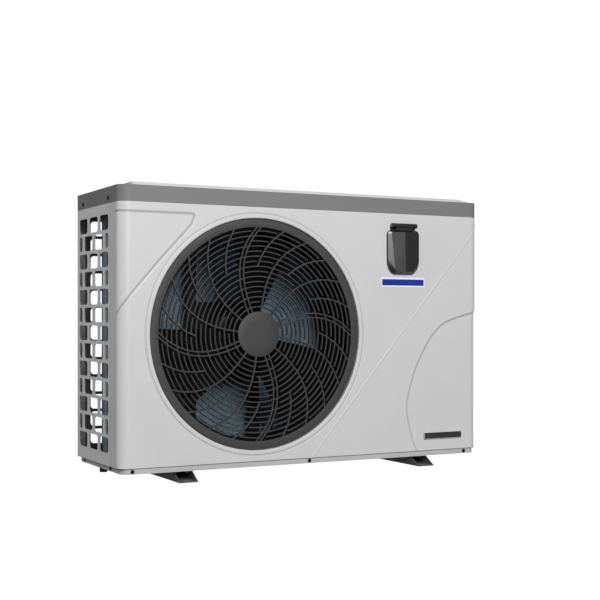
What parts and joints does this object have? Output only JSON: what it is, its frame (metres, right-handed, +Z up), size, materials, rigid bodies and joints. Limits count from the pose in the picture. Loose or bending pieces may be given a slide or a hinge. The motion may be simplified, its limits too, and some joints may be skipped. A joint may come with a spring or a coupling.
{
  "type": "pool heat pump",
  "caption": "Outdoor air-to-water heat pump for a pool: louvred cabinet with axial fan, finned coil, compressor, water exchanger, flip-up controller cover and pipe unions.",
  "frame": {"origin": "on the ground, at the centre of the four anchor slots in the feet", "axes": "+Z up, +X along the cabinet towards the water unions, -Y is the side the fan blows from"},
  "size_m": [1.0002, 0.3215, 0.6565],
  "materials": {
    "foot_dark": "satin powder coat",
    "zinc": "galvanised",
    "pan_grey": "satin powder coat",
    "black_plastic": "fine grained",
    "cabinet_white": "satin powder coat",
    "side_grey": "satin",
    "lid_dark": "satin powder coat",
    "top_light": "satin powder coat",
    "screw_black": "black zinc",
    "grille_dark": "fine grained",
    "fan_black": "satin",
    "shaft_steel": "ground",
    "motor_black": "satin",
    "bracket_black": "satin",
    "fin_blue": "blue hydrophilic coating",
    "copper": "drawn copper",
    "rubber_black": "matte",
    "compressor_black": "semi gloss",
    "pvc_grey": "satin",
    "union_blue": "satin",
    "union_red": "satin",
    "brass_valve": "machined",
    "board_green": "lacquered",
    "component_dark": "satin",
    "display_grey": "fine grained",
    "window_dark": "polished",
    "button_grey": "satin",
    "cover_gloss": "polished",
    "plate_blue": "printed, bare",
    "plate_dark": "bare"
  },
  "bodies": {
    "cabinet": {"base_pan": "pan_grey", "base_screws": "screw_black", "board_components": "component_dark", "cable_gland": "black_plastic", "compressor": "compressor_black", "compressor_accumulator": "compressor_black", "compressor_rubber_mounts": "rubber_black", "compressor_studs": "zinc", "compressor_terminal_cover": "black_plastic", "control_board": "board_green", "control_box": "zinc", "controller_base": "black_plastic", "controller_hinge_pin": "shaft_steel", "discharge_pipe": "copper", "display_module": "display_grey", "display_window": "window_dark", "drain_spigot": "black_plastic", "evaporator_end_plates": "fin_blue", "evaporator_fins": "fin_blue", "evaporator_headers": "copper", "evaporator_tubes": "copper", "expansion_valve": "brass_valve", "fan_grille": "grille_dark", "fan_motor": "motor_black", "fan_orifice": "fan_black", "foot_bolts_and_nuts": "zinc", "foot_left": "foot_dark", "foot_right": "foot_dark", "four_way_valve": "brass_valve", "front_panel": "cabinet_white", "gas_pipes": "copper", "left_grille_panel": "side_grey", "lid_screws": "screw_black", "liquid_pipes": "copper", "motor_bracket": "bracket_black", "name_plate_lower": "plate_dark", "name_plate_upper": "plate_blue", "partition_panel": "bracket_black", "pipe_grommets": "rubber_black", "rear_grille_panel": "side_grey", "rear_service_panel": "cabinet_white", "right_side_panel": "cabinet_white", "side_handle": "black_plastic", "suction_pipes": "copper", "top_cover": "lid_dark", "top_panel": "top_light", "water_exchanger": "pvc_grey", "water_inlet_union": "pvc_grey", "water_outlet_union": "pvc_grey"},
    "fan": {"fan_blade": "fan_black", "fan_nut": "zinc", "motor_shaft": "shaft_steel"},
    "controller_cover": {"controller_cover": "cover_gloss"},
    "inlet_nut": {"water_inlet_nut": "union_blue"},
    "outlet_nut": {"water_outlet_nut": "union_red"},
    "button_power": {"button_power": "button_grey"},
    "button_mode": {"button_mode": "button_grey"},
    "button_timer": {"button_timer": "button_grey"},
    "button_up": {"button_up": "button_grey"},
    "button_down": {"button_down": "button_grey"}
  },
  "joints": [
    {"name": "fan_spin", "type": "hinge", "parent": "cabinet", "child": "fan", "pos_m": [-0.138, -0.0905, 0.324], "axis": [0, -1, 0], "continuous": true},
    {"name": "controller_cover_hinge", "type": "hinge", "parent": "cabinet", "child": "controller_cover", "pos_m": [0.245, -0.1565, 0.5827], "axis": [-1, 0, 0], "range_deg": [0, 110]},
    {"name": "inlet_nut_turn", "type": "hinge", "parent": "cabinet", "child": "inlet_nut", "pos_m": [0.489, 0.04, 0.117], "axis": [1, 0, 0], "continuous": true},
    {"name": "outlet_nut_turn", "type": "hinge", "parent": "cabinet", "child": "outlet_nut", "pos_m": [0.489, 0.04, 0.382], "axis": [1, 0, 0], "continuous": true},
    {"name": "button_power_press", "type": "slide", "parent": "cabinet", "child": "button_power", "axis": [0, 1, 0], "range_m": [0, 0.001], "stiffness_N_per_m": 400, "springref_m": -0.0005},
    {"name": "button_mode_press", "type": "slide", "parent": "cabinet", "child": "button_mode", "axis": [0, 1, 0], "range_m": [0, 0.001], "stiffness_N_per_m": 400, "springref_m": -0.0005},
    {"name": "button_timer_press", "type": "slide", "parent": "cabinet", "child": "button_timer", "axis": [0, 1, 0], "range_m": [0, 0.001], "stiffness_N_per_m": 400, "springref_m": -0.0005},
    {"name": "button_up_press", "type": "slide", "parent": "cabinet", "child": "button_up", "axis": [0, 1, 0], "range_m": [0, 0.001], "stiffness_N_per_m": 400, "springref_m": -0.0005},
    {"name": "button_down_press", "type": "slide", "parent": "cabinet", "child": "button_down", "axis": [0, 1, 0], "range_m": [0, 0.001], "stiffness_N_per_m": 400, "springref_m": -0.0005}
  ]
}
